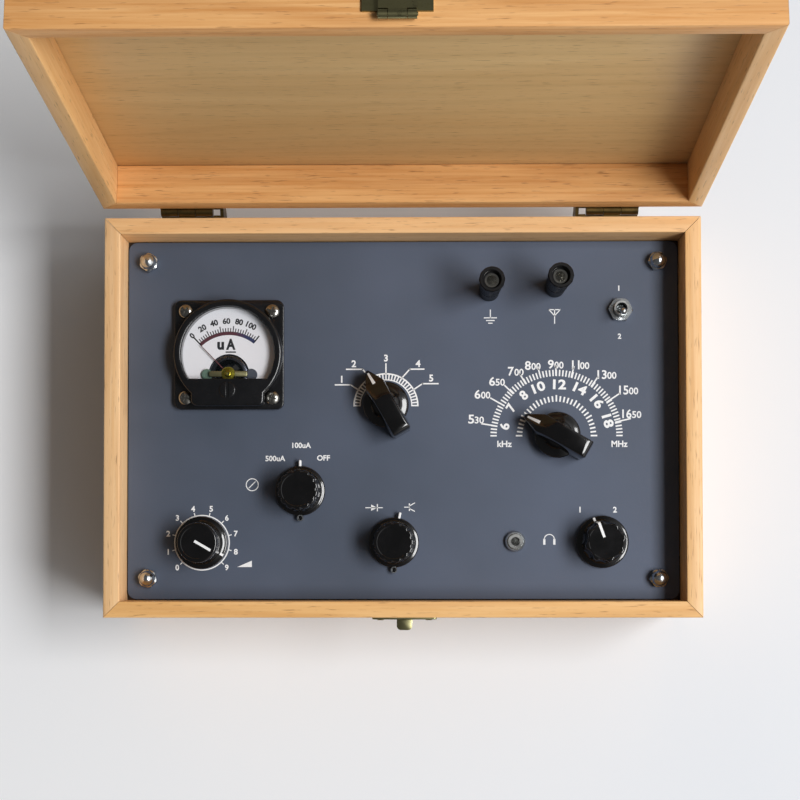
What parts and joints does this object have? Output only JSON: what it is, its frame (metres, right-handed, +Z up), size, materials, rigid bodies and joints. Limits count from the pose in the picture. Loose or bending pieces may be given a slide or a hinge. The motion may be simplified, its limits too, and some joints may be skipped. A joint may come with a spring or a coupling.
{
  "type": "crystal radio",
  "caption": "Crystal radio in a hinged wooden case: dark panel with a round meter, pointer and round knobs, binding posts, toggle switch and phone socket.",
  "frame": {"origin": "middle of the flat underside of the case", "axes": "+Z up, +Y towards the hinges at the rear, +X to the right as seen from the front; the lid is stored open"},
  "size_m": [0.24, 0.2114, 0.2353],
  "materials": {
    "pine": "planed pine with a thin satin varnish",
    "pine_board": "pine board with a thin satin varnish",
    "batten": "raw wood",
    "panel_paint": "satin dark blue-grey paint with white printing",
    "nickel": "bright nickel plate",
    "aged_brass": "darkened brass plate",
    "brass_plate": "satin brass plate",
    "black_plastic": "moulded glossy black",
    "meter_plastic": "moulded black, half gloss",
    "meter_clear": "clear polished",
    "dial_white": "matt white with black, red and blue printing",
    "movement_steel": "dull steel",
    "needle_red": "red lacquer",
    "shaft_metal": "turned metal",
    "capacitor_metal": "bare sheet",
    "switch_plastic": "moulded",
    "wafer": "paper laminate",
    "pot_can": "pressed steel can",
    "toggle_red": "moulded",
    "ferrite": "dark ferrite",
    "coil_wire": "enamelled copper winding on a card former",
    "core_steel": "lamination stack",
    "board_green": "circuit board",
    "wire_red": "plastic-covered wire"
  },
  "bodies": {
    "case": {"bottom_board": "pine_board", "front_wall": "pine", "rear_wall": "pine", "left_wall": "pine", "right_wall": "pine", "corner_posts": "batten", "panel": "panel_paint", "panel_fasteners": "nickel", "case_hinge_leaves": "aged_brass", "hinge_pins": "aged_brass", "case_screws": "brass_plate", "catch_plate": "brass_plate", "meter_case": "meter_plastic", "meter_bezel": "meter_plastic", "meter_window": "meter_clear", "meter_dial": "dial_white", "meter_movement": "movement_steel", "meter_fasteners": "nickel", "tuning_frame": "capacitor_metal", "tuning_stator": "capacitor_metal", "band_switch": "wafer", "selector_switches": "switch_plastic", "gain_pot": "pot_can", "control_nuts": "nickel", "toggle_switch": "toggle_red", "post_studs": "nickel", "post_collars": "black_plastic", "phone_jack": "shaft_metal", "ferrite_rod": "ferrite", "tuning_coil": "coil_wire", "transformer": "core_steel", "detector_board": "board_green", "hookup_wires": "wire_red"},
    "lid": {"lid_board": "pine_board", "lid_front_wall": "pine", "lid_rear_wall": "pine", "lid_left_wall": "pine", "lid_right_wall": "pine", "lid_hinge_leaves": "aged_brass", "lid_screws": "brass_plate", "hasp_plate": "brass_plate", "hasp_pin": "brass_plate"},
    "hasp": {"hasp_lever": "brass_plate"},
    "pointer": {"meter_pointer": "needle_red"},
    "adjuster": {"zero_adjuster": "meter_plastic"},
    "tuning": {"tuning_knob": "black_plastic", "tuning_rotor": "capacitor_metal"},
    "band": {"band_knob": "black_plastic", "band_shaft": "shaft_metal"},
    "range": {"range_knob": "black_plastic", "range_shaft": "shaft_metal"},
    "detector": {"detector_knob": "black_plastic", "detector_shaft": "shaft_metal"},
    "phones": {"phones_knob": "black_plastic", "phones_shaft": "shaft_metal"},
    "gain": {"gain_knob": "black_plastic", "gain_shaft": "shaft_metal"},
    "toggle": {"toggle_lever": "nickel"},
    "ground_nut": {"ground_cap": "black_plastic"},
    "antenna_nut": {"antenna_cap": "black_plastic"}
  },
  "joints": [
    {"name": "lid_hinge", "type": "hinge", "parent": "case", "child": "lid", "pos_m": [0, 0.083, 0.07], "axis": [1, 0, 0], "range_deg": [0, 98]},
    {"name": "hasp_hinge", "type": "hinge", "parent": "lid", "child": "hasp", "pos_m": [0.0008, 0.10926, 0.23384], "axis": [1, 0, 0], "range_deg": [0, 180]},
    {"name": "tuning_turn", "type": "hinge", "parent": "case", "child": "tuning", "pos_m": [0.0631, -0.0066, 0.06], "axis": [0, 0, 1], "range_deg": [-150, 30]},
    {"name": "band_turn", "type": "hinge", "parent": "case", "child": "band", "pos_m": [-0.0069, 0.0059, 0.06], "axis": [0, 0, 1], "range_deg": [-90, 30]},
    {"name": "range_turn", "type": "hinge", "parent": "case", "child": "range", "pos_m": [-0.042, -0.0292, 0.06], "axis": [0, 0, 1], "range_deg": [-30, 30]},
    {"name": "detector_turn", "type": "hinge", "parent": "case", "child": "detector", "pos_m": [-0.0036, -0.0504, 0.06], "axis": [0, 0, 1], "range_deg": [0, 30]},
    {"name": "gain_turn", "type": "hinge", "parent": "case", "child": "gain", "pos_m": [-0.0825, -0.0504, 0.06], "axis": [0, 0, 1], "range_deg": [-15, 255]},
    {"name": "phones_turn", "type": "hinge", "parent": "case", "child": "phones", "pos_m": [0.0815, -0.0502, 0.06], "axis": [0, 0, 1], "range_deg": [-40, 0]},
    {"name": "toggle_flip", "type": "hinge", "parent": "case", "child": "toggle", "pos_m": [0.0894, 0.0451, 0.054], "axis": [-1, 0, 0], "range_deg": [0, 22]},
    {"name": "ground_cap_lift", "type": "slide", "parent": "case", "child": "ground_nut", "axis": [0, 0, 1], "range_m": [0, 0.002]},
    {"name": "antenna_cap_lift", "type": "slide", "parent": "case", "child": "antenna_nut", "axis": [0, 0, 1], "range_m": [0, 0.002]},
    {"name": "pointer_swing", "type": "hinge", "parent": "case", "child": "pointer", "pos_m": [-0.0712, 0.0185, 0.0576], "axis": [0, 0, 1], "range_deg": [-88, 0], "stiffness_Nm_per_rad": 0.00002},
    {"name": "zero_turn", "type": "hinge", "parent": "case", "child": "adjuster", "pos_m": [-0.0712, 0.0117, 0.06], "axis": [0, 0, 1], "range_deg": [-30, 30]}
  ]
}
